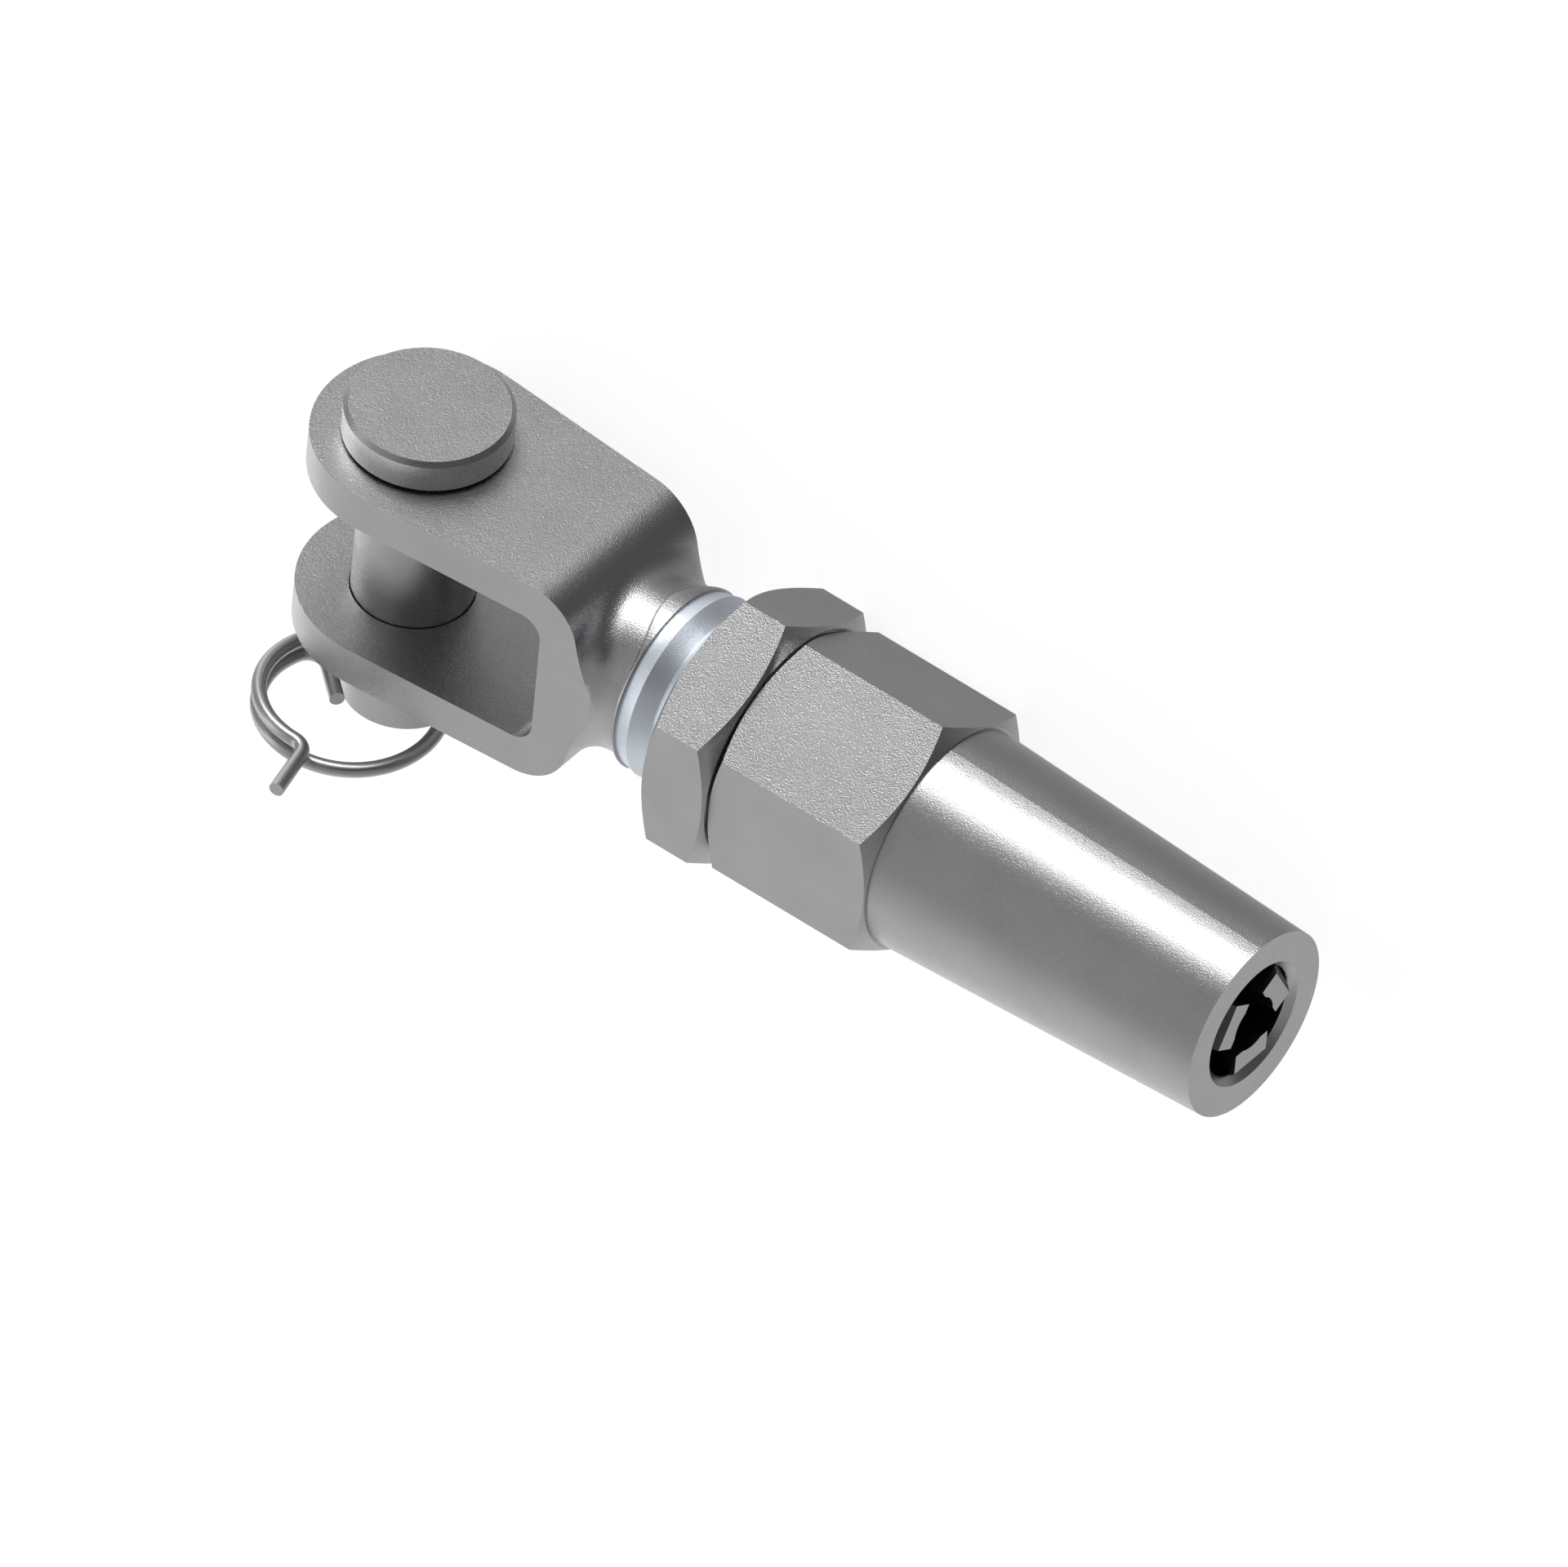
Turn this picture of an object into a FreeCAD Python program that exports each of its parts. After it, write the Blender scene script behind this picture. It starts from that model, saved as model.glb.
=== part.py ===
# Fork end of a wire rope tensioner, in millimetres.
# X runs along the rope, from the clevis pin to the mouth that the rope enters.
# Y is the clevis pin's axis, with the pin's head at +Y, and Z is up as the part lies on its flats.
# The origin is where the pin's axis meets the rope's axis.
import FreeCAD, Part
import math
import os
import re
import Sketcher

doc = FreeCAD.newDocument("rope_tensioner")
sizes = doc.addObject("Spreadsheet::Sheet", "sizes")

# Driving dimensions: alias, value and what it measures.
DIMENSIONS = [
    ("eye_radius", 7.5, "rounded end of each cheek, about the pin"),
    ("clevis_gap", 10.5, "between the inner faces of the cheeks"),
    ("cheek_thick", 2.8, "one cheek"),
    ("side_taper", 4.3, "degrees that each side of the fork leans in towards the shank"),
    ("throat", 14.5, "pin axis to the floor of the fork"),
    ("throat_corner", 1.5, "radius between a cheek and the floor"),
    ("crown_thick", 2.7, "floor of the fork to its back"),
    ("crown_corner", 3.8, "radius of the crown's outer corners"),
    ("neck_d", 12.06, "waist between the crown and the collar"),
    ("neck_blend", 2.3, "concave radius from the crown into the neck"),
    ("collar_d", 12.9, "plain collar behind the thread"),
    ("collar_side", 20.5, "pin axis to the collar's edge on the flat sides"),
    ("collar_flat", 4.1, "half width of the collar's straight edge on each side"),
    ("collar_round", 2.4, "radius where the collar's edge bends towards the crown"),
    ("collar_edge", 0.25, "rounding of the collar's edge"),
    ("thread_start", 20.8, "pin axis to the first turn of thread"),
    ("thread_d", 13.0, "major diameter of the shank's thread"),
    ("thread_entry", 0.7, "chamfer on the shank's end"),
    ("shank_end", 41.5, "pin axis to the end of the shank"),
    ("pocket_d", 9.2, "spring pocket in the shank's end"),
    ("pocket_depth", 6.0, "depth of the spring pocket"),
    ("thread_fit", 0.05, "radial clearance of a nut on the shank's thread"),
    ("pin_d", 8.0, "clevis pin's shaft"),
    ("pin_fit", 0.08, "radial clearance of the pin in the cheeks"),
    ("pin_reach", 14.4, "rope axis to the pin's free end"),
    ("pin_entry", 0.3, "chamfer on the pin's free end"),
    ("head_d", 11.0, "pin's head"),
    ("head_thick", 2.25, "thickness of the head"),
    ("head_edge", 0.3, "chamfer on the head's face"),
    ("head_play", 0.25, "gap between the head and its cheek"),
    ("ring_wire", 1.0, "wire of the cotter ring"),
    ("ring_radius", 5.9, "mean radius of the cotter ring"),
    ("ring_lead", 1.25, "rise of the ring's wire in one turn"),
    ("ring_hole_d", 2.2, "cross hole in the pin"),
    ("ring_hole_sink", 1.5, "depth of the flare at each end of the cross hole"),
    ("ring_hole_flare", 4.1, "diameter of the flare where it leaves the pin"),
    ("ring_hole_at", 11.3, "rope axis to the cross hole"),
    ("ring_sag", 0.3, "wire's arc below the hole's axis, in the middle of the pin"),
    ("ring_coil_angle", 468.0, "degrees of coil, from the top of the ring"),
    ("ring_bend", 1.2, "bend radius at the ring's two ends"),
    ("ring_tail_angle", 77.0, "degrees that the outer end is bent outwards"),
    ("ring_leg_angle", 113.0, "degrees that the inner end is bent inwards"),
    ("ring_tail", 3.5, "straight outer end of the ring"),
    ("ring_leg", 3.2, "straight inner end of the ring"),
    ("nut_flats", 17.0, "lock nut across flats"),
    ("nut_thick", 5.0, "thickness of the lock nut"),
    ("nut_face_d", 16.6, "circle left flat on each face of the nut"),
    ("bore_edge", 0.5, "chamfer at the end of a threaded bore"),
    ("sleeve_start", 29.6, "pin axis to the sleeve's end, where the nut locks"),
    ("hex_flats", 16.0, "sleeve's hexagon across flats"),
    ("hex_length", 12.6, "length of the hexagon"),
    ("hex_face_d", 15.8, "circle left flat on each end of the hexagon"),
    ("cone_root_d", 15.5, "cone where it leaves the hexagon"),
    ("cone_length", 25.1, "hexagon to the mouth"),
    ("mouth_d", 13.3, "outside of the mouth"),
    ("mouth_bore", 8.0, "narrow end of the sleeve's taper"),
    ("mouth_edge", 0.5, "chamfer inside the mouth"),
    ("wedge_angle", 5.5, "degrees between the sleeve's taper and its axis"),
    ("wedge_length", 21.8, "length of the taper, from the mouth's chamfer inwards"),
    ("jaw_length", 18.8, "one jaw"),
    ("jaw_width", 3.2, "across the parallel sides of a jaw"),
    ("jaw_bore", 3.9, "circle of the three jaws' grip, with no rope in them"),
    ("grip_width", 1.8, "width of the round grip along the middle of a jaw's flat inner face"),
    ("jaw_fit", 0.05, "clearance of a jaw in the taper"),
    ("jaw_nose", 0.65, "depth of the flat bevel across a jaw's front end"),
    ("tooth_pitch", 1.9, "spacing of the grip's grooves"),
    ("tooth_depth", 0.3, "depth of a groove"),
    ("tooth_lead", 3.0, "smooth grip at the jaw's front"),
    ("tooth_count", 8, "grooves in one jaw"),
    ("follower_d", 11.0, "jaw follower, outside"),
    ("follower_hole", 5.4, "jaw follower, hole for the rope's end"),
    ("follower_thick", 1.0, "thickness of the jaw follower"),
    ("seat_gap", 0.02, "play between the jaws, the follower and the spring"),
    ("spring_strip", 1.2, "width of the jaw spring's flat wire, across the coil"),
    ("spring_leaf", 0.6, "thickness of the jaw spring's flat wire"),
    ("spring_d", 7.6, "mean diameter of the jaw spring"),
    ("spring_turns", 3.0, "open turns of the jaw spring"),
    ("spring_closed", 1.0, "rise of the closed turn at each end of the spring"),
]

ALIASES = {alias for alias, value, meaning in DIMENSIONS}
for row, (alias, value, meaning) in enumerate(DIMENSIONS, start=1):
    sizes.set(f"A{row}", meaning)
    sizes.set(f"B{row}", str(value))
    sizes.setAlias(f"B{row}", alias)
doc.recompute()


def worth(expression):
    """Value of an expression on the sheet's aliases."""
    return float(sizes.evalExpression(expression))


def bind(thing, name, expression):
    """Tie a property to an expression, with the sheet named before each of its aliases."""
    full = re.sub(r"[a-z]\w*", lambda word: f"sizes.{word[0]}" if word[0] in ALIASES else word[0], expression)
    thing.setExpression(name, full)


# Places that more than one piece uses.
CHEEK_FACE = "(clevis_gap / 2 + cheek_thick)"
CROWN = "(throat + crown_thick)"
HEX_END = "(sleeve_start + hex_length)"
MOUTH = "(sleeve_start + hex_length + cone_length)"
TAPER_END = f"({MOUTH} - mouth_edge)"
TAPER_START = f"({TAPER_END} - wedge_length)"
JAW_BACK = f"({MOUTH} - jaw_length)"
JAW_ANGLES = {"jaw_1": 60.0, "jaw_2": 180.0, "jaw_3": 300.0}


def taper_at(place):
    """Radius of the sleeve's inner taper at a place on the rope's axis."""
    return f"(mouth_bore / 2 + ({TAPER_END} - {place}) * tan(wedge_angle))"


def side_at(place):
    """Half width of the fork's leaning sides at a place on the rope's axis."""
    return f"(eye_radius / cos(side_taper) - {place} * tan(side_taper))"


def new_body(label):
    body = doc.addObject("PartDesign::Body", label)
    body.Label = label
    return body


def new_sketch(body, name, role, **offset):
    """Sketch on one of the body's origin planes, with its own origin moved by the offset."""
    sketch = body.newObject("Sketcher::SketchObject", name)
    plane = next(item for item in body.Origin.OriginFeatures if item.Role == role)
    sketch.AttachmentSupport = [(plane, "")]
    sketch.MapMode = "FlatFace"
    for axis, expression in offset.items():
        bind(sketch, f"AttachmentOffset.Base.{axis}", expression)
    return sketch


def constrain(sketch, name, expression, kind, *where):
    number = sketch.addConstraint(Sketcher.Constraint(kind, *where, worth(expression)))
    sketch.renameConstraint(number, name)
    bind(sketch, f"Constraints.{name}", expression)


def place_point(sketch, curve, end, across, up):
    """Fix one point of a sketch by its distances from the sketch's origin."""
    for kind, axis, expression in (("DistanceX", -2, across), ("DistanceY", -1, up)):
        if expression == "0":
            sketch.addConstraint(Sketcher.Constraint("PointOnObject", curve, end, axis))
        else:
            constrain(sketch, f"{kind}_{curve}_{end}", expression, kind, -1, 1, curve, end)


def draw_outline(sketch, corners, arcs=None):
    """Closed outline; arcs gives the centre and radius of the side that starts at a corner."""
    arcs = arcs or {}
    first = sketch.GeometryCount
    points = [FreeCAD.Vector(worth(across), worth(up), 0) for across, up in corners]
    ends = []
    for number, start in enumerate(points):
        finish = points[(number + 1) % len(points)]
        if number not in arcs:
            sketch.addGeometry(Part.LineSegment(start, finish), False)
            ends.append((1, 2))
            continue
        across, up, radius = arcs[number]
        centre = FreeCAD.Vector(worth(across), worth(up), 0)
        middle = (start - centre) + (finish - centre)
        middle = centre + middle.normalize() * worth(radius)
        curve = sketch.addGeometry(Part.Arc(start, middle, finish), False)
        turn = (start - centre).cross(finish - centre).z
        ends.append((1, 2) if turn > 0 else (2, 1))
        constrain(sketch, f"radius_{curve}", radius, "Radius", curve)
    for number, (begin, finish) in enumerate(ends):
        following = (number + 1) % len(points)
        sketch.addConstraint(Sketcher.Constraint(
            "Coincident", first + number, finish, first + following, ends[following][0]))
    for number, (across, up) in enumerate(corners):
        place_point(sketch, first + number, ends[number][0], across, up)
    return sketch


def draw_circle(sketch, radius, across="0", up="0"):
    centre = FreeCAD.Vector(worth(across), worth(up), 0)
    circle = sketch.addGeometry(Part.Circle(centre, FreeCAD.Vector(0, 0, 1), worth(radius)), False)
    if across == up == "0":
        sketch.addConstraint(Sketcher.Constraint("Coincident", circle, 3, -1, 1))
    else:
        place_point(sketch, circle, 3, across, up)
    constrain(sketch, f"radius_{circle}", radius, "Radius", circle)
    return sketch


def draw_hexagon(sketch, flats):
    """Hexagon with corners on the pin's two sides and flats above and below."""
    corner = f"{flats} / cos(30) / 2"
    half = f"{flats} / cos(30) / 4"
    return draw_outline(sketch, [
        (corner, "0"), (half, f"{flats} / 2"), (f"-{half}", f"{flats} / 2"),
        (f"-{corner}", "0"), (f"-{half}", f"-{flats} / 2"), (half, f"-{flats} / 2"),
    ])


def add_feature(body, kind, name, sketch, length=None, **settings):
    """Feature made from a sketch, with its length bound to the sheet."""
    before = body.Tip.Shape.Volume if body.Tip else 0.0
    feature = body.newObject(f"PartDesign::{kind}", name)
    feature.Profile = sketch
    for key, setting in settings.items():
        setattr(feature, key, setting)
    if length:
        bind(feature, "Length", length)
    doc.recompute()
    gained = feature.Shape.Volume - before
    if (gained < 0) != (kind in ("Pocket", "Groove")):
        raise RuntimeError(f"{name} changes nothing")
    return feature


def revolve(body, kind, name, sketch, axis="H_Axis"):
    return add_feature(body, kind, name, sketch, ReferenceAxis=(sketch, [axis]), Angle=360.0)


def cut_through(body, name, sketch):
    return add_feature(body, "Pocket", name, sketch, Type="ThroughAll", SideType="Symmetric")


def dress(body, kind, name, wanted, size):
    """Fillet or Chamfer on those edges of the body that the test picks."""
    base = body.Tip
    names = [f"Edge{number}" for number, edge in enumerate(base.Shape.Edges, start=1) if wanted(edge)]
    if not names:
        raise RuntimeError(f"{name} finds no edge")
    feature = body.newObject(f"PartDesign::{kind}", name)
    feature.Base = (base, names)
    bind(feature, "Radius" if kind == "Fillet" else "Size", size)
    doc.recompute()
    return feature


def points_on(edge):
    first, last = edge.ParameterRange
    return [edge.valueAt(first + (last - first) * part / 6) for part in range(7)]


def upright_at(place, side):
    """Test for an upright edge at a place along the rope's axis and to either side of it."""
    return lambda edge: all(
        abs(point.x - place) < 0.01 and abs(abs(point.y) - side) < 0.01 for point in points_on(edge))


def ring_at(radius, low, high):
    """Test for an edge on a cylinder about the rope's axis, between two places."""
    return lambda edge: all(
        abs(math.hypot(point.y, point.z) - radius) < 0.01 and low - 0.01 < point.x < high + 0.01
        for point in points_on(edge))


# Fork: a forged clevis with a waist blended into its crown.
def make_forging():
    body = new_body("forging")
    back = "(eye_radius + 2)"
    block = draw_outline(new_sketch(body, "block_outline", "XY_Plane"), [
        (f"-{back}", f"-{CHEEK_FACE}"), (CROWN, f"-{CHEEK_FACE}"),
        (CROWN, CHEEK_FACE), (f"-{back}", CHEEK_FACE),
    ])
    add_feature(body, "Pad", "block", block, f"2 * {back}", SideType="Symmetric")
    dress(body, "Fillet", "crown_corners", upright_at(worth(CROWN), worth(CHEEK_FACE)), "crown_corner")
    neck = draw_circle(new_sketch(body, "neck_outline", "YZ_Plane"), "neck_d / 2")
    add_feature(body, "Pad", "neck", neck, "thread_start + 1")
    dress(body, "Fillet", "neck_blend_round", ring_at(worth("neck_d / 2"), 0, worth(CROWN)), "neck_blend")

    # The sides are milled off around the eye and along two flats that lean in and run out in the blend.
    touch_across = "eye_radius * sin(side_taper)"
    touch_up = "eye_radius * cos(side_taper)"
    run_out = f"({CROWN} + neck_blend)"
    eye = ("0", "0", "eye_radius")
    sides = draw_outline(new_sketch(body, "side_outline", "XZ_Plane"), [
        (run_out, side_at(run_out)), (touch_across, touch_up), ("-eye_radius", "0"),
        (touch_across, f"-{touch_up}"), (run_out, f"-{side_at(run_out)}"), (run_out, f"-{back} - 1"),
        (f"-{back} - 1", f"-{back} - 1"), (f"-{back} - 1", f"{back} + 1"), (run_out, f"{back} + 1"),
    ], {1: eye, 2: eye})
    cut_through(body, "sides", sides)

    gap = draw_outline(new_sketch(body, "gap_outline", "XY_Plane"), [
        (f"-{back}", "-clevis_gap / 2"), ("throat", "-clevis_gap / 2"),
        ("throat", "clevis_gap / 2"), (f"-{back}", "clevis_gap / 2"),
    ])
    cut_through(body, "gap", gap)
    dress(body, "Fillet", "throat_corners", upright_at(worth("throat"), worth("clevis_gap / 2")),
          "throat_corner")
    bores = draw_circle(new_sketch(body, "pin_bore_outline", "XZ_Plane"), "pin_d / 2 + pin_fit")
    cut_through(body, "pin_bores", bores)

    # Shank with its thread's outer diameter, and a pocket for the spring in its end.
    floor = "shank_end - pocket_depth"
    shank = draw_outline(new_sketch(body, "shank_outline", "XY_Plane"), [
        ("thread_start", "0"), (floor, "0"), (floor, "pocket_d / 2"), ("shank_end", "pocket_d / 2"),
        ("shank_end", "thread_d / 2 - thread_entry"), ("shank_end - thread_entry", "thread_d / 2"),
        ("thread_start", "thread_d / 2"),
    ])
    revolve(body, "Revolution", "shank", shank)
    return body


# Collar behind the thread: its edge runs straight over the sides and bends back above the cheeks.
def make_collar():
    body = new_body("collar")
    bend = "(collar_side - collar_round)"
    wide = "(collar_flat + collar_round)"
    barrel = draw_circle(new_sketch(body, "barrel_outline", "YZ_Plane", z=f"{bend} - 1"), "collar_d / 2")
    add_feature(body, "Pad", "barrel", barrel, f"thread_start - {bend} + 1")
    edge = draw_outline(new_sketch(body, "edge_outline", "XY_Plane"), [
        (f"{bend} - 2", f"-{wide} - 2"), (bend, f"-{wide} - 2"), (bend, f"-{wide}"),
        ("collar_side", "-collar_flat"), ("collar_side", "collar_flat"), (bend, wide),
        (bend, f"{wide} + 2"), (f"{bend} - 2", f"{wide} + 2"),
    ], {2: (bend, "-collar_flat", "collar_round"), 4: (bend, "collar_flat", "collar_round")})
    cut_through(body, "edge", edge)
    dress(body, "Fillet", "soft_edge", ring_at(worth("collar_d / 2"), 0, worth("collar_side")), "collar_edge")
    return body


def make_fork():
    fork = doc.addObject("Part::Fuse", "fork")
    fork.Label = "fork"
    fork.Base = make_forging()
    fork.Tool = make_collar()
    fork.Refine = True
    doc.recompute()
    return fork


# Clevis pin: turned with a flat head, and a cross hole that flares where it leaves the shaft.
def make_pin():
    body = new_body("clevis_pin")
    under_head = f"({CHEEK_FACE} + head_play)"
    top = f"({under_head} + head_thick)"
    turned = draw_outline(new_sketch(body, "turned_outline", "XY_Plane"), [
        ("0", "-pin_reach"), ("pin_d / 2 - pin_entry", "-pin_reach"),
        ("pin_d / 2", "-pin_reach + pin_entry"), ("pin_d / 2", under_head), ("head_d / 2", under_head),
        ("head_d / 2", f"{top} - head_edge"), ("head_d / 2 - head_edge", top), ("0", top),
    ])
    revolve(body, "Revolution", "turned", turned, "V_Axis")
    inner = "(pin_d / 2 - ring_hole_sink)"
    outer = "(pin_d / 2 + ring_hole_sink)"
    hole = draw_outline(new_sketch(body, "hole_outline", "XY_Plane", y="-ring_hole_at"), [
        (f"-{outer}", "0"), (outer, "0"), (outer, "ring_hole_flare - ring_hole_d / 2"),
        (inner, "ring_hole_d / 2"), (f"-{inner}", "ring_hole_d / 2"),
        (f"-{outer}", "ring_hole_flare - ring_hole_d / 2"),
    ])
    revolve(body, "Groove", "ring_hole", hole)
    return body


# The cotter ring and the jaw spring are wound from wire. A coil is made of flat half turns about z, each
# tilted by its own rise, so that they join smoothly.
def coil_arcs(radius, rises, sweep, base):
    """Arcs of a coil that starts above its centre, and its sweep in degrees."""
    arcs = []
    start = base + FreeCAD.Vector(0, radius, 0)
    for number, rise in enumerate(rises):
        side = -1 if number % 2 else 1
        finish = start + FreeCAD.Vector(0, -2 * side * radius, rise)
        centre = (start + finish) * 0.5
        spoke = start - centre
        heading = FreeCAD.Vector(-side * spoke.Length, 0, 0)
        turn = math.radians(min(180.0, sweep - 180.0 * number))
        points = [centre + spoke * math.cos(angle) + heading * math.sin(angle) for angle in (0, turn / 2, turn)]
        arcs.append(Part.Arc(*points).toShape())
        start = finish
    return arcs


def bent_end(point, heading, turn, length):
    """A bend to the left of the heading and the straight wire after it, with its tip and direction."""
    bend = worth("ring_bend")
    left = FreeCAD.Vector(0, 0, 1).cross(heading).normalize()

    def along(angle):
        return point + heading * (bend * math.sin(angle)) + left * (bend * (1 - math.cos(angle)))

    turn = math.radians(turn)
    way = heading * math.cos(turn) + left * math.sin(turn)
    tip = along(turn) + way * length
    arc = Part.Arc(point, along(turn / 2), along(turn)).toShape()
    return [arc, Part.LineSegment(along(turn), tip).toShape()], tip, way


def new_solid(label, shape):
    piece = doc.addObject("Part::Feature", label)
    piece.Label = label
    piece.Shape = shape
    return piece


# Cotter ring: coiled a little more than once. Both of its ends are bent the same way, the first out of
# the coil and the last across it. As it is wound, y is up and z is away from the fork.
def make_ring():
    rise = worth("ring_lead / 2")
    sweep = worth("ring_coil_angle")
    centre = FreeCAD.Vector(0, worth("ring_radius - ring_sag"), -rise)
    coil = coil_arcs(worth("ring_radius"), [rise] * math.ceil(sweep / 180), sweep, centre)
    first, last = coil[0], coil[-1]
    tail, tip, way = bent_end(
        first.valueAt(first.FirstParameter), first.tangentAt(first.FirstParameter) * -1,
        worth("ring_tail_angle"), worth("ring_tail"))
    leg, leg_tip, leg_way = bent_end(
        last.valueAt(last.LastParameter), last.tangentAt(last.LastParameter),
        worth("ring_leg_angle"), worth("ring_leg"))
    section = Part.Wire(Part.Circle(tip, way, worth("ring_wire / 2")).toShape())
    path = Part.Wire([*reversed(tail), *coil, *leg])
    ring = new_solid("cotter_ring", path.makePipeShell([section], True, False))
    ring.Placement = FreeCAD.Placement(FreeCAD.Vector(), FreeCAD.Rotation(FreeCAD.Vector(1, 0, 0), 90))
    bind(ring, ".Placement.Base.y", "-ring_hole_at")
    return ring


# Both hexagons have their corners turned off by a cone, which leaves a flat circle on each face.
def turn_corners(body, start, finish, flats, face_d):
    reach = f"({flats} / cos(30) / 2 + 1)"
    depth = f"({reach} - {face_d} / 2) * tan(30)"
    for name, face, way in (("corners_near", start, "+"), ("corners_far", finish, "-")):
        outside = "-" if way == "+" else "+"
        cone = draw_outline(new_sketch(body, f"{name}_outline", "XY_Plane"), [
            (face, f"{face_d} / 2"), (f"{face} {way} {depth}", reach),
            (f"{face} {outside} 1", reach), (f"{face} {outside} 1", f"{face_d} / 2"),
        ])
        revolve(body, "Groove", name, cone)


def make_nut():
    body = new_body("lock_nut")
    finish = "(sleeve_start - seat_gap)"
    start = f"({finish} - nut_thick)"
    hexagon = draw_hexagon(new_sketch(body, "hex_outline", "YZ_Plane", z=start), "nut_flats")
    add_feature(body, "Pad", "hexagon", hexagon, "nut_thick")
    turn_corners(body, start, finish, "nut_flats", "nut_face_d")
    bore = draw_circle(new_sketch(body, "bore_outline", "YZ_Plane"), "thread_d / 2 + thread_fit")
    cut_through(body, "bore", bore)
    ends = ring_at(worth("thread_d / 2 + thread_fit"), worth(start), worth(finish))
    dress(body, "Chamfer", "bore_edges", ends, "bore_edge")
    return body


# Sleeve: a hexagon and a long cone in one piece, threaded inside and tapered to the mouth for the jaws.
def make_sleeve():
    body = new_body("sleeve")
    hexagon = draw_hexagon(new_sketch(body, "hex_outline", "YZ_Plane", z="sleeve_start"), "hex_flats")
    add_feature(body, "Pad", "hexagon", hexagon, "hex_length")
    turn_corners(body, "sleeve_start", HEX_END, "hex_flats", "hex_face_d")
    cone = draw_outline(new_sketch(body, "cone_outline", "XY_Plane"), [
        ("sleeve_start + 1", "0"), (MOUTH, "0"), (MOUTH, "mouth_d / 2"), (HEX_END, "cone_root_d / 2"),
        ("sleeve_start + 1", "cone_root_d / 2"),
    ])
    revolve(body, "Revolution", "cone", cone)
    thread = "(thread_d / 2 + thread_fit)"
    bore = draw_outline(new_sketch(body, "bore_outline", "XY_Plane"), [
        ("sleeve_start - 1", "0"), (f"{MOUTH} + 1", "0"), (f"{MOUTH} + 1", "mouth_bore / 2 + mouth_edge"),
        (MOUTH, "mouth_bore / 2 + mouth_edge"), (TAPER_END, "mouth_bore / 2"),
        (TAPER_START, taper_at(TAPER_START)), (TAPER_START, thread),
        ("sleeve_start + bore_edge", thread), ("sleeve_start", f"{thread} + bore_edge"),
        ("sleeve_start - 1", f"{thread} + bore_edge"),
    ])
    revolve(body, "Groove", "bore", bore)
    return body


# Jaws: three wedges cut from one turned cone, each with grooves across its grip.
def make_jaw(label):
    body = new_body(label)
    fit = "jaw_fit / cos(wedge_angle)"
    front = f"({taper_at(MOUTH)} - {fit})"
    wedge = draw_outline(new_sketch(body, "wedge_outline", "XY_Plane"), [
        (JAW_BACK, "jaw_bore / 2"), (MOUTH, "jaw_bore / 2"), (MOUTH, front),
        (JAW_BACK, f"{taper_at(JAW_BACK)} - {fit}"),
    ])
    revolve(body, "Revolution", "wedge", wedge)
    far = "(thread_d / 2 + 1)"
    flat = "sqrt(jaw_bore ^ 2 - grip_width ^ 2) / 2"
    sides = draw_outline(new_sketch(body, "side_outline", "YZ_Plane", z=f"{JAW_BACK} + jaw_length / 2"), [
        (flat, "jaw_width / 2"), (flat, "-jaw_width / 2"), (far, "-jaw_width / 2"), (far, f"-{far}"),
        (f"-{far}", f"-{far}"), (f"-{far}", far), (far, far), (far, "jaw_width / 2"),
    ])
    cut_through(body, "sides", sides)
    nose = draw_outline(new_sketch(body, "nose_outline", "XY_Plane"), [
        (f"{MOUTH} + 1", f"{front} - jaw_nose - 1"), (f"{MOUTH} + 1", f"{front} + 1"),
        (f"{MOUTH} - jaw_nose - 1", f"{front} + 1"),
    ])
    cut_through(body, "nose", nose)
    tooth = f"({MOUTH} - tooth_lead)"
    groove = draw_outline(new_sketch(body, "tooth_outline", "XY_Plane"), [
        (f"{tooth} - tooth_pitch / 2", "jaw_bore / 2 + tooth_depth"),
        (f"{tooth} - tooth_pitch", "jaw_bore / 2"), (f"{tooth} - tooth_pitch", "jaw_bore / 4"),
        (tooth, "jaw_bore / 4"), (tooth, "jaw_bore / 2"),
    ])
    first = revolve(body, "Groove", "tooth", groove)
    teeth = body.newObject("PartDesign::LinearPattern", "teeth")
    teeth.Originals = [first]
    teeth.Direction = (groove, ["H_Axis"])
    teeth.Reversed = True
    bind(teeth, "Occurrences", "tooth_count")
    bind(teeth, "Length", "tooth_pitch * (tooth_count - 1)")
    body.Tip = teeth
    body.Placement = FreeCAD.Placement(
        FreeCAD.Vector(), FreeCAD.Rotation(FreeCAD.Vector(1, 0, 0), JAW_ANGLES[label]))
    doc.recompute()
    return body


# Follower: a washer behind the jaws, pushed forward by the spring in the shank's end.
FOLLOWER_BACK = f"({JAW_BACK} - seat_gap - follower_thick)"


def make_follower():
    body = new_body("jaw_follower")
    washer = new_sketch(body, "washer_outline", "YZ_Plane", z=FOLLOWER_BACK)
    draw_circle(washer, "follower_d / 2")
    draw_circle(washer, "follower_hole / 2")
    add_feature(body, "Pad", "washer", washer, "follower_thick")
    return body


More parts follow.
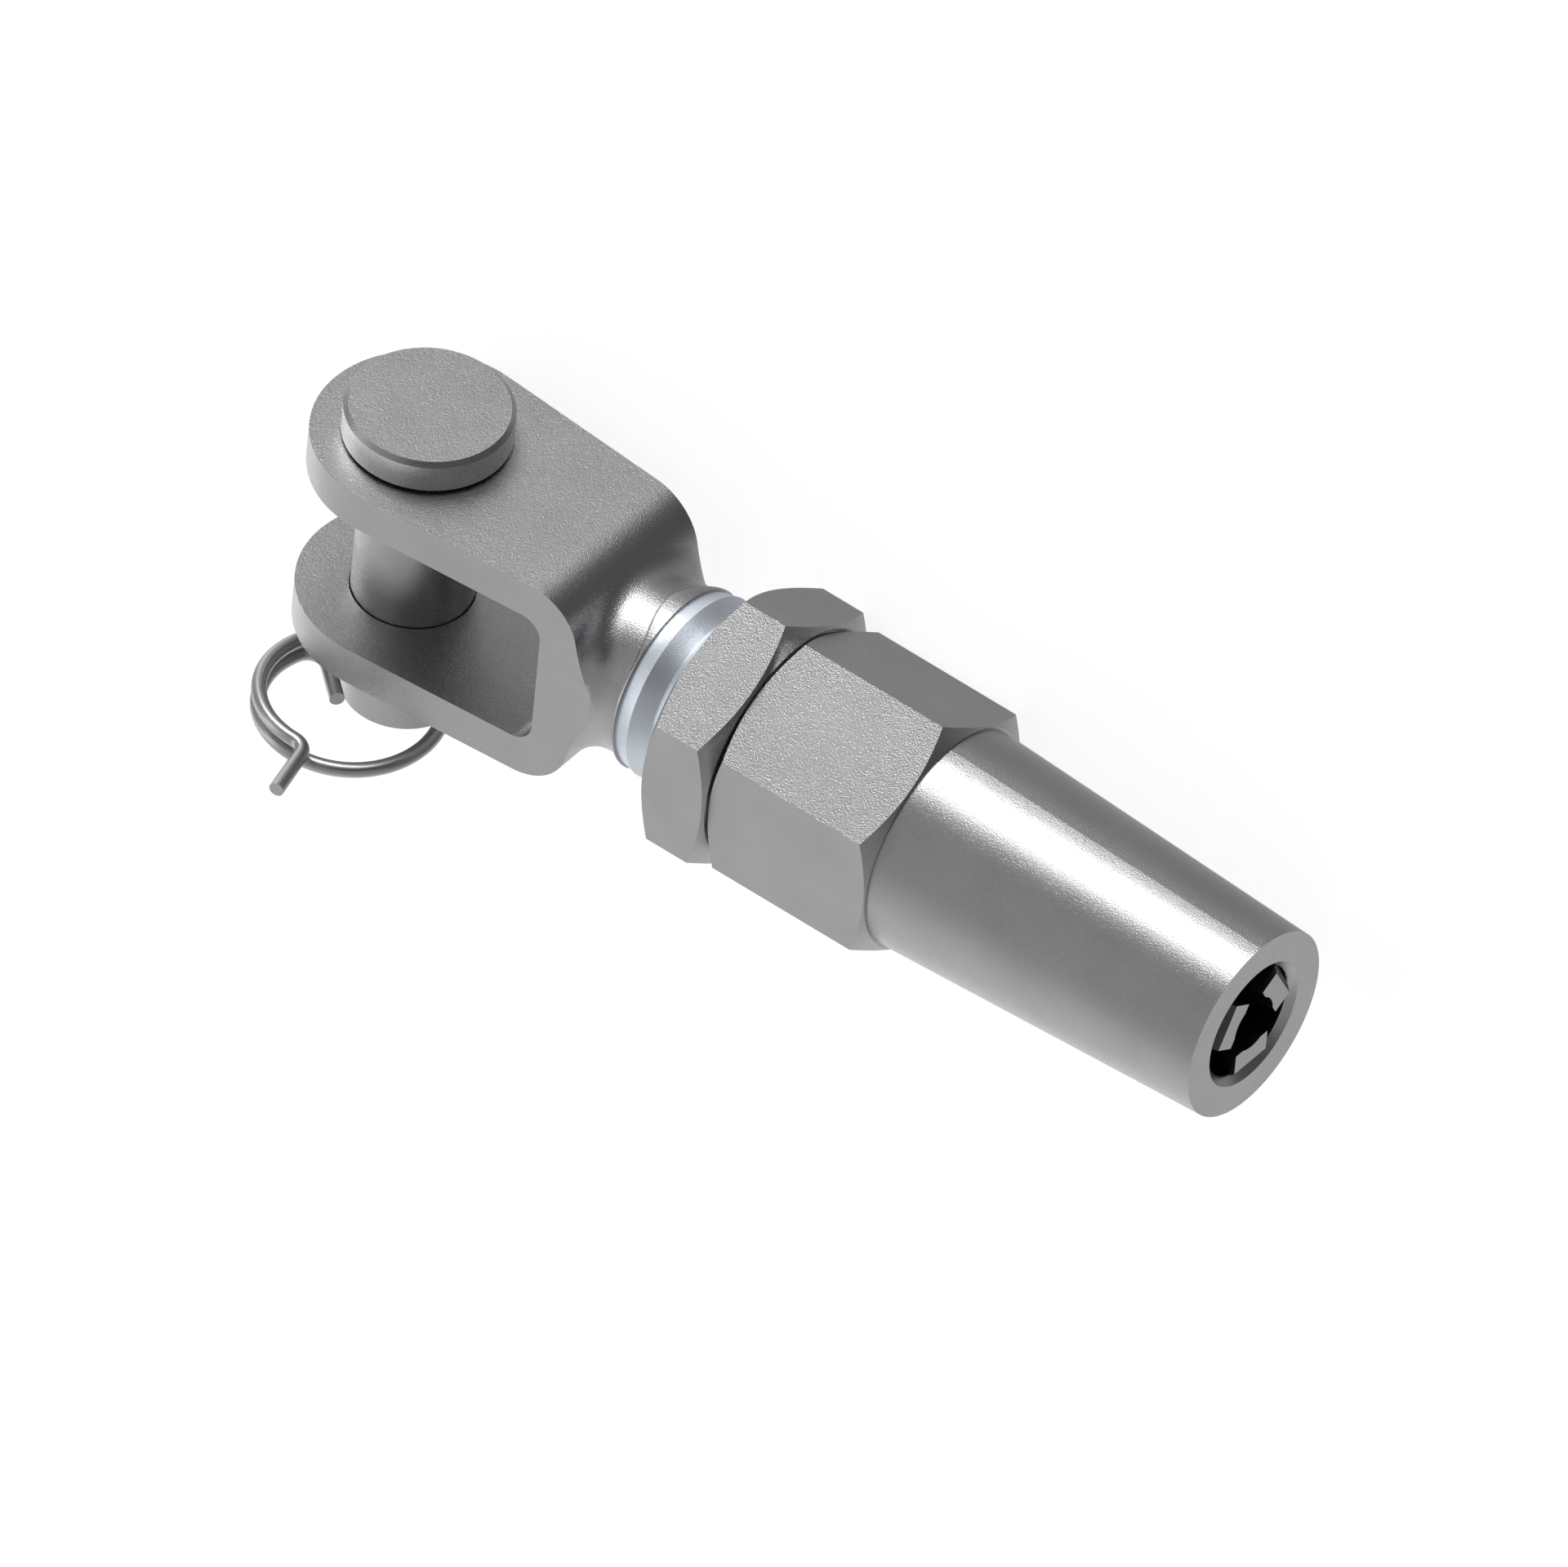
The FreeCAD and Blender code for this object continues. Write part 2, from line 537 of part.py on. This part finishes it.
# Spring: flat wire wound on edge, with half a closed turn at each end of the open ones.
def make_spring():
    start = "(shank_end - pocket_depth + seat_gap + spring_leaf / 2)"
    finish = f"({FOLLOWER_BACK} - seat_gap - spring_leaf / 2)"
    closed = worth("spring_closed / 2")
    halves = round(worth("spring_turns * 2"))
    rise = (worth(f"{finish} - {start}") - 2 * closed) / halves
    rises = [closed, *[rise] * halves, closed]
    coil = coil_arcs(worth("spring_d / 2"), rises, 180.0 * len(rises), FreeCAD.Vector())
    tip = coil[0].valueAt(coil[0].FirstParameter)
    corners = [
        tip + FreeCAD.Vector(0, across * worth("spring_strip / 2"), along * worth("spring_leaf / 2"))
        for across, along in ((-1, -1), (1, -1), (1, 1), (-1, 1), (-1, -1))]
    strip = Part.BRepOffsetAPI.MakePipeShell(Part.Wire(coil))
    strip.setBiNormalMode(FreeCAD.Vector(0, 0, 1))
    strip.add(Part.makePolygon(corners))
    strip.build()
    strip.makeSolid()
    spring = new_solid("jaw_spring", strip.shape())
    spring.Placement = FreeCAD.Placement(FreeCAD.Vector(), FreeCAD.Rotation(FreeCAD.Vector(0, 1, 0), 90))
    bind(spring, ".Placement.Base.x", start)
    return spring


pieces = [make_fork(), make_pin(), make_ring(), make_nut(), make_sleeve()]
pieces += [make_jaw(label) for label in JAW_ANGLES]
pieces += [make_follower(), make_spring()]
doc.recompute()

for thing in doc.Objects:
    if "Invalid" in thing.State or "Error" in thing.State:
        raise RuntimeError(f"{thing.Label} didn't compute")
for piece in pieces:
    if piece.Shape.isNull() or not piece.Shape.isValid() or len(piece.Shape.Solids) != 1:
        raise RuntimeError(f"{piece.Label} isn't one valid solid")

os.makedirs("parts", exist_ok=True)
for piece in pieces:
    piece.Shape.exportStep(f"parts/{piece.Label}.step")
    box = piece.Shape.BoundBox
    print(f"{piece.Label}: {piece.Shape.Volume:.1f} mm3, X {box.XMin:.2f} to {box.XMax:.2f}, "
          f"Y {box.YMin:.2f} to {box.YMax:.2f}, Z {box.ZMin:.2f} to {box.ZMax:.2f}")
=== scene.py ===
"""Fork end for wire rope, as the photograph shows it: blasted stainless steel on a white ground."""

import math

import bpy
from mathutils import Matrix, Vector


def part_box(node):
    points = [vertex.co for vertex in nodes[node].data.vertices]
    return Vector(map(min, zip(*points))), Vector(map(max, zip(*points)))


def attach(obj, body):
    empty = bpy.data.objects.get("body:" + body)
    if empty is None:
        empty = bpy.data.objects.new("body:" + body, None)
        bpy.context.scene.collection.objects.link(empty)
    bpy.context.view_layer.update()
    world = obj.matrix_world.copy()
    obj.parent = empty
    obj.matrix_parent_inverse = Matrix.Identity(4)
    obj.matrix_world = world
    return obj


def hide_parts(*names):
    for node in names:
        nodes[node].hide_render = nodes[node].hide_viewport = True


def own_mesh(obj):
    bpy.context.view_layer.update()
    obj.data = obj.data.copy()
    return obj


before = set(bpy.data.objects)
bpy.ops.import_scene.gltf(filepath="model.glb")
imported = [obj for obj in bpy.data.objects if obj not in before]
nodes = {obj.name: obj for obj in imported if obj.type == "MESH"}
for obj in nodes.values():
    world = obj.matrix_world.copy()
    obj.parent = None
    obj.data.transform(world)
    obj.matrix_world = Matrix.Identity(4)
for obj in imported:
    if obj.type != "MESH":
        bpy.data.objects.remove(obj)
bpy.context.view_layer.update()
scene = bpy.context.scene
scene.view_settings.view_transform = "Standard"

# The picture is a parallel view from above the mouth of the sleeve, with the
# pin's axis nearly upright in it, so the camera leans over the standing model.
right = Vector((0.78327, 0.06873, -0.61786))
up = Vector((-0.46874, 0.71816, -0.51433))
towards = right.cross(up)
middle, distance = (0.02573, -0.01015, -0.00584), 0.4
lens = bpy.data.cameras.new("camera")
lens.type = "ORTHO"
lens.ortho_scale = 0.099004
lens.clip_start, lens.clip_end = 0.01, 5.0
camera = bpy.data.objects.new("camera", lens)
scene.collection.objects.link(camera)
rows = [(right[i], up[i], towards[i], middle[i] + distance * towards[i]) for i in range(3)]
camera.matrix_world = Matrix(rows + [(0, 0, 0, 1)])
scene.camera = camera


# Fork: one forging in stainless steel, blasted to a fine even grain after its
# cheeks, crown and neck are shaped. The pin, the nut and the sleeve are blasted
# in the same way, and share its finish.
def add_node(tree, kind, **inputs):
    """A shader node with its inputs set, each under its own name with _ for a space."""
    node = tree.nodes.new(kind)
    for name, value in inputs.items():
        node.inputs[name.replace("_", " ")].default_value = value
    return node


def spread(tree, value, start, end, low, high, curve="LINEAR"):
    """Turns a value between start and end into one between low and high, and stops there."""
    scale = add_node(
        tree, "ShaderNodeMapRange", From_Min=start, From_Max=end, To_Min=low, To_Max=high
    )
    scale.interpolation_type = curve
    tree.links.new(value, scale.inputs["Value"])
    return scale.outputs["Result"]


def blasted_steel(name, colour, roughness, grain, pits):
    """Steel beaten by beads: grain is the size of a dimple and pits its depth, in metres."""
    cloud_size, tint_change, gloss_change = 0.004, 0.04, 0.1
    material = bpy.data.materials.new(name)
    material.use_nodes = True
    tree = material.node_tree
    shader = tree.nodes["Principled BSDF"]
    shader.inputs["Metallic"].default_value = 1.0
    place = tree.nodes.new("ShaderNodeTexCoord").outputs["Object"]
    dimples = add_node(tree, "ShaderNodeTexNoise", Scale=1 / grain, Detail=2.0, Roughness=0.6)
    clouds = add_node(tree, "ShaderNodeTexNoise", Scale=1 / cloud_size, Detail=3.0)
    for texture in (dimples, clouds):
        tree.links.new(place, texture.inputs["Vector"])
    tint = tree.nodes.new("ShaderNodeValToRGB")
    for stop, position, change in zip(tint.color_ramp.elements, (0.3, 0.7), (-1, 1)):
        stop.position = position
        stop.color = [part * (1 + change * tint_change) for part in colour] + [1]
    tree.links.new(clouds.outputs["Fac"], tint.inputs["Fac"])
    tree.links.new(tint.outputs["Color"], shader.inputs["Base Color"])
    smooth, dull = roughness * (1 - gloss_change), roughness * (1 + gloss_change)
    gloss = spread(tree, dimples.outputs["Fac"], 0.0, 1.0, smooth, dull)
    tree.links.new(gloss, shader.inputs["Roughness"])
    bump = add_node(tree, "ShaderNodeBump", Strength=1.0, Distance=pits)
    tree.links.new(dimples.outputs["Fac"], bump.inputs["Height"])
    tree.links.new(bump.outputs["Normal"], shader.inputs["Normal"])
    return material


def finish_node(name, material):
    """Gives a CAD node its material, in each of its slots."""
    for place in nodes[name].material_slots:
        place.material = material


steel_colour = (0.47, 0.47, 0.475)
blast = {"roughness": 0.28, "grain": 0.0001, "pits": 0.000022}
steel = blasted_steel("blasted_steel", steel_colour, **blast)
finish_node("fork", steel)


def deselect_all():
    """Leaves edit mode, with nothing selected."""
    if bpy.context.object and bpy.context.object.mode != "OBJECT":
        bpy.ops.object.mode_set(mode="OBJECT")
    bpy.ops.object.select_all(action="DESELECT")


def pick(piece, wanted):
    """Selects the vertices of a piece in edit mode whose place passes wanted."""
    bpy.ops.object.mode_set(mode="EDIT")
    bpy.ops.mesh.select_mode(type="VERT")
    bpy.ops.mesh.select_all(action="DESELECT")
    bpy.ops.object.mode_set(mode="OBJECT")
    for vertex in piece.data.vertices:
        vertex.select = wanted(vertex.co)
    bpy.ops.object.mode_set(mode="EDIT")


def apply_all(piece):
    """Applies a piece's modifiers, in their order."""
    for modifier in list(piece.modifiers):
        bpy.ops.object.modifier_apply(modifier=modifier.name)


# Points nearer than same_point are one, and a cut takes in those within on_plane.
same_point, on_plane = 1e-6, 1e-7


def copy_node(node, name):
    """A copy of a CAD node's mesh, its triangles joined, in edit mode with all of it selected."""
    deselect_all()
    piece = bpy.data.objects.new(name, nodes[node].data.copy())
    scene.collection.objects.link(piece)
    bpy.context.view_layer.objects.active = piece
    piece.select_set(True)
    bpy.ops.mesh.customdata_custom_splitnormals_clear()
    pick(piece, lambda place: True)
    bpy.ops.mesh.remove_doubles(threshold=same_point)
    piece.data.materials.clear()
    return piece


# The forging itself is a copy of the solid, cut off just before the collar's
# face, where the thread begins. Its flats stay flat in the light, because their
# normals weigh more than those of the narrow rounds between them.
thread_start, thread_end, face_cut = 0.0208, 0.0415, 0.00005
forging = copy_node("fork", "forging")
bpy.ops.mesh.bisect(
    plane_co=(thread_start - face_cut, 0, 0), plane_no=(1, 0, 0),
    use_fill=True, clear_outer=True, threshold=on_plane,
)
bpy.ops.object.mode_set(mode="OBJECT")
bpy.ops.object.shade_smooth_by_angle(angle=math.radians(35))
forging.modifiers.new("even", "WEIGHTED_NORMAL").keep_sharp = True
apply_all(forging)
forging.data.materials.append(steel)
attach(forging, "fork")

# Thread: rolled on the shank after the blasting, so it is paler, bluer and less
# pitted than the forging. One turn is drawn and screwed along the rope's axis,
# from a relief turned next to the collar to the shank's bored end.
pitch, turns, turns_before, turn_steps = 0.0020, 14, 3, 64
crest_radius, crest_at, relief_end = 0.0065, 0.02436, 0.0234
end_chamfer, bore_radius, bore_depth = 0.0007, 0.0046, 0.006

# Both outlines are in millimetres, along the axis and out from it. The turn's
# goes from crest to crest, and the relief's from the thread back to the collar.
turn_profile = (
    (0, 6.5), (0.1, 6.455), (0.25, 6.39), (0.45, 6.3), (0.7, 6.195), (0.95, 6.115),
    (1.15, 6.09), (1.3, 6.13), (1.5, 6.22), (1.7, 6.325), (1.87, 6.425), (2.0, 6.5),
)
relief = (
    (23.2, 5.95), (22.95, 6.045), (22.7, 6.145), (22.5, 6.23), (22.25, 6.34),
    (22.05, 6.425), (21.88, 6.5), (21.8, 6.478), (21.65, 6.438), (21.45, 6.39),
    (21.25, 6.348), (21.05, 6.31), (20.85, 6.28), (20.7, 6.265),
)
deselect_all()
bpy.ops.mesh.primitive_circle_add(vertices=len(turn_profile), radius=crest_radius)
thread = bpy.context.object
thread.name = "shank_thread"
first_crest = crest_at - turns_before * pitch
for vertex, (along, radius) in zip(thread.data.vertices, turn_profile):
    vertex.co = (first_crest + along / 1000, 0, radius / 1000)
bpy.ops.object.mode_set(mode="EDIT")
bpy.ops.mesh.select_all(action="DESELECT")
bpy.ops.object.mode_set(mode="OBJECT")
closing = {0, len(turn_profile) - 1}
for edge in thread.data.edges:
    edge.select = set(edge.vertices) == closing
bpy.ops.object.mode_set(mode="EDIT")
bpy.ops.mesh.select_mode(type="EDGE")
bpy.ops.mesh.delete(type="EDGE")
bpy.ops.object.mode_set(mode="OBJECT")
roll = thread.modifiers.new("roll", "SCREW")
roll.axis, roll.screw_offset, roll.iterations = "X", pitch, turns
roll.steps = roll.render_steps = turn_steps
roll.use_merge_vertices, roll.merge_threshold = True, same_point
apply_all(thread)
pick(thread, lambda place: True)
bpy.ops.mesh.remove_doubles(threshold=2 * same_point)
bpy.ops.mesh.bisect(
    plane_co=(relief_end, 0, 0), plane_no=(1, 0, 0), clear_inner=True, threshold=on_plane
)
bpy.ops.mesh.select_all(action="SELECT")
bpy.ops.mesh.bisect(
    plane_co=(thread_end, 0, 0), plane_no=(1, 0, 0), clear_outer=True, threshold=on_plane
)
bpy.ops.object.mode_set(mode="OBJECT")
for vertex in thread.data.vertices:
    widest = crest_radius - max(0, vertex.co.x - (thread_end - end_chamfer))
    radius = math.hypot(vertex.co.y, vertex.co.z)
    if radius > widest:
        vertex.co.y *= widest / radius
        vertex.co.z *= widest / radius
pick(thread, lambda place: place.x < relief_end + same_point)
for along, radius in relief:
    bpy.ops.mesh.extrude_edges_move()
    bpy.ops.object.mode_set(mode="OBJECT")
    for vertex in thread.data.vertices:
        if vertex.select:
            size = radius / 1000 / math.hypot(vertex.co.y, vertex.co.z)
            vertex.co = (along / 1000, vertex.co.y * size, vertex.co.z * size)
    bpy.ops.object.mode_set(mode="EDIT")
pick(thread, lambda place: place.x > thread_end - same_point)
bore_share = bore_radius / (crest_radius - end_chamfer)
bpy.ops.mesh.extrude_edges_move()
bpy.ops.transform.resize(
    value=(1, bore_share, bore_share), center_override=(thread_end, 0, 0)
)
bpy.ops.mesh.extrude_edges_move(TRANSFORM_OT_translate={"value": (-bore_depth, 0, 0)})
bpy.ops.mesh.edge_face_add()
bpy.ops.mesh.select_all(action="SELECT")
bpy.ops.mesh.normals_make_consistent(inside=False)
bpy.ops.object.mode_set(mode="OBJECT")
bpy.ops.object.shade_smooth_by_angle(angle=math.radians(30))
rolled = blasted_steel(
    "rolled_thread", (0.74, 0.79, 0.86), roughness=0.42, grain=0.0001, pits=0.000014
)
thread.data.materials.append(rolled)
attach(thread, "fork")
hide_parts("fork")


# Clevis pin: turned from bar, with a flat head that stops on the upper cheek.
# It is blasted like the fork, and the side of its head is painted pale steel,
# as painted light that lightens the shade on that side.
def combine(tree, operation, *values):
    """A Math node on numbers and on other nodes' outputs."""
    node = tree.nodes.new("ShaderNodeMath")
    node.operation = operation
    for place, value in enumerate(values):
        if isinstance(value, (int, float)):
            node.inputs[place].default_value = value
        else:
            tree.links.new(value, node.inputs[place])
    return node.outputs[0]


def surface(tree, output, axis):
    """One axis of a point's place or normal, in the piece's own coordinates."""
    parts = tree.nodes.new("ShaderNodeSeparateXYZ")
    tree.links.new(tree.nodes.new("ShaderNodeTexCoord").outputs[output], parts.inputs["Vector"])
    return parts.outputs[axis]


def paint(material, share, colour):
    """Lays a second colour over a material's own, by a share between 0 and 1."""
    tree = material.node_tree
    base = tree.nodes["Principled BSDF"].inputs["Base Color"]
    mixed = tree.nodes.new("ShaderNodeMix")
    mixed.data_type = "RGBA"
    lower, upper, result = mixed.inputs[6], mixed.inputs[7], mixed.outputs[2]
    tree.links.new(share, mixed.inputs["Factor"])
    tree.links.new(base.links[0].from_socket, lower)
    upper.default_value = (*colour, 1)
    tree.links.new(result, base)


pin_steel_painted_light = blasted_steel("pin_steel_painted_light", steel_colour, **blast)
tree = pin_steel_painted_light.node_tree
cheek_top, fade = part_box("fork")[1].y, 0.00005
steepness = combine(tree, "ABSOLUTE", surface(tree, "Normal", "Y"))
side = spread(tree, steepness, 0.3, 0.5, 1.0, 0.0)
head = spread(tree, surface(tree, "Object", "Y"), cheek_top - fade, cheek_top, 0.0, 1.0)
# Pale steel painted on the head's side above the cheek, as painted light over its shade.
painted_light_steel = (0.88, 0.88, 0.88)
paint(pin_steel_painted_light, combine(tree, "MULTIPLY", side, head), painted_light_steel)
finish_node("clevis_pin", pin_steel_painted_light)

# Cotter ring: spring wire, drawn smooth and coiled a turn and a third, so its
# grain is finer than the blasted steel's.
drawn_wire = blasted_steel(
    "drawn_wire", steel_colour, roughness=0.33, grain=0.00008, pits=0.000006
)
finish_node("cotter_ring", drawn_wire)

# Lock nut: a thin nut of the fork's steel, chamfered on both faces and blasted.
# It is run down on the thread against the sleeve.
finish_node("lock_nut", steel)

# Sleeve: hexagon bar of the fork's steel, turned to a long cone beyond its flats
# and blasted. It screws onto the shank, and the jaws sit in its taper.
finish_node("sleeve", steel)

# Jaws: near-black painted shade in the sleeve's mouth, with ground front ends
# in the steel's own colour. The follower behind them has the same painted shade.
# The near-black colour is painted shade; the fronts facing out of the mouth keep the steel's own
# colour.
jaw_painted_shade = blasted_steel(
    "jaw_painted_shade", (0.09, 0.09, 0.092), roughness=0.38, grain=0.00013, pits=0.00001
)
tree = jaw_painted_shade.node_tree
ground = spread(tree, surface(tree, "Normal", "X"), 0.9, 0.98, 0.0, 1.0)
paint(jaw_painted_shade, ground, steel_colour)
for name in ("jaw_1", "jaw_2", "jaw_3", "jaw_follower"):
    finish_node(name, jaw_painted_shade)

# Spring: flat wire wound on edge, a copy of the solid, in the jaws' painted shade. It
# closes up towards the shank's pocket by as much as the follower comes back.
coil = copy_node("jaw_spring", "coil")
bpy.ops.object.mode_set(mode="OBJECT")
bpy.ops.object.shade_smooth_by_angle(angle=math.radians(35))
coil.data.materials.append(jaw_painted_shade)
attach(coil, "spring")
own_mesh(coil)
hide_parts("jaw_spring")

# Ground: a white floor under the part, with no edge in sight. Only the camera
# sees it, so metal mirrors the studio in its place, and shadows on it stay faint.
floor_middle, floor_radius = (0.03, 0, -0.0085), 0.3
deselect_all()
bpy.ops.mesh.primitive_circle_add(
    vertices=96, radius=floor_radius, fill_type="NGON", location=floor_middle
)
floor = bpy.context.object
bpy.ops.object.transform_apply(location=True, rotation=False, scale=False)
floor.name = "floor"
floor_finish = bpy.data.materials.new("pale_floor")
floor_finish.use_nodes = True
tree = floor_finish.node_tree
shader = tree.nodes["Principled BSDF"]
shader.inputs["Base Color"].default_value = (0.3, 0.3, 0.3, 1)
shader.inputs["Roughness"].default_value = 0.9
shader.inputs["Emission Color"].default_value = (1, 1, 1, 1)
shader.inputs["Emission Strength"].default_value = 0.88
rays = tree.nodes.new("ShaderNodeLightPath")
unseen = combine(tree, "SUBTRACT", 1.0, rays.outputs["Is Camera Ray"])
clear = tree.nodes.new("ShaderNodeBsdfTransparent")
through = tree.nodes.new("ShaderNodeMixShader")
tree.links.new(unseen, through.inputs["Fac"])
tree.links.new(shader.outputs["BSDF"], through.inputs[1])
tree.links.new(clear.outputs["BSDF"], through.inputs[2])
tree.links.new(through.outputs["Shader"], tree.nodes["Material Output"].inputs["Surface"])
floor.data.materials.append(floor_finish)

# Light: one long soft lamp over the pin's head, and studio walls all round that
# are bright behind the fork and dark ahead of its crown. Brightness is counted in
# whites of the background.
lamp_size, lamp_glow, lamp_gap = (0.56, 0.25), 4.6, 0.55
lit_point = Vector((0.03, 0, 0))
key_data = bpy.data.lights.new("key", "AREA")
key_data.shape = "RECTANGLE"
key_data.size, key_data.size_y = lamp_size
key_data.energy = math.pi * key_data.size * key_data.size_y * lamp_glow
key = bpy.data.objects.new("key", key_data)
scene.collection.objects.link(key)
aim = Vector((-0.33, 0.935, -0.11)).normalized()
along = (Vector((1, 0, 0)) - aim * aim.x).normalized()
turn = Matrix((along, aim.cross(along), aim)).transposed()
key.matrix_world = Matrix.Translation(lit_point + lamp_gap * aim) @ turn.to_4x4()

world = bpy.data.worlds.new("studio")
scene.world = world
world.use_nodes = True
tree = world.node_tree
back = tree.nodes["Background"]
sky = tree.nodes.new("ShaderNodeTexCoord").outputs["Generated"]


def wall(direction, start, end, far, near):
    """Brightness that goes from far to near as a ray turns towards a direction."""
    gap = tree.nodes.new("ShaderNodeVectorMath")
    gap.operation = "DOT_PRODUCT"
    gap.inputs[1].default_value = Vector(direction).normalized()
    tree.links.new(sky, gap.inputs[0])
    return spread(tree, gap.outputs["Value"], start, end, far, near, "SMOOTHSTEP")


# Each wall's direction, where it starts and is whole, as the cosine of a ray's
# angle to it, and its brightness there or the share of light that it leaves.
bright_walls = (
    ((-1, 0.05, 0.3), 0.79, 0.9, 1.1),
    ((-0.85, 0.2, -0.48), 0.88, 0.96, 0.8),
    ((-0.62, -0.75, -0.22), 0.93, 1.0, 0.5),
    ((0.41, -0.69, -0.6), 0.8, 1.0, 0.15),
    ((-0.45, 0.75, -0.48), 0.9, 1.0, 0.08),
)
dark_walls = (
    ((-0.3, 0.45, -0.84), 0.82, 0.97, 0.8),
    ((-1, 0.15, 0.05), 0.83, 0.95, 0.25),
    ((-0.62, 0.76, 0.2), 0.92, 0.99, 0.2),
    ((0.75, 0.55, -0.35), 0.55, 0.85, 0.3),
    ((0.41, 0.69, 0.6), 0.86, 0.97, 0.2),
)
around = wall((-0.25, -0.96, 0.1), 0.2, 1.0, 0.38, 0.8)
for direction, start, end, brightness in bright_walls:
    around = combine(tree, "ADD", around, wall(direction, start, end, 0.0, brightness))
for direction, start, end, share in dark_walls:
    around = combine(tree, "MULTIPLY", around, wall(direction, start, end, 1.0, share))
rays = tree.nodes.new("ShaderNodeLightPath")
mix = tree.nodes.new("ShaderNodeMix")
unmirrored = combine(
    tree, "MAXIMUM", rays.outputs["Is Camera Ray"], rays.outputs["Is Transmission Ray"]
)
tree.links.new(unmirrored, mix.inputs["Factor"])
tree.links.new(around, mix.inputs["A"])
mix.inputs["B"].default_value = 1.0
tree.links.new(mix.outputs["Result"], back.inputs["Strength"])
back.inputs["Color"].default_value = (1, 1, 1, 1)
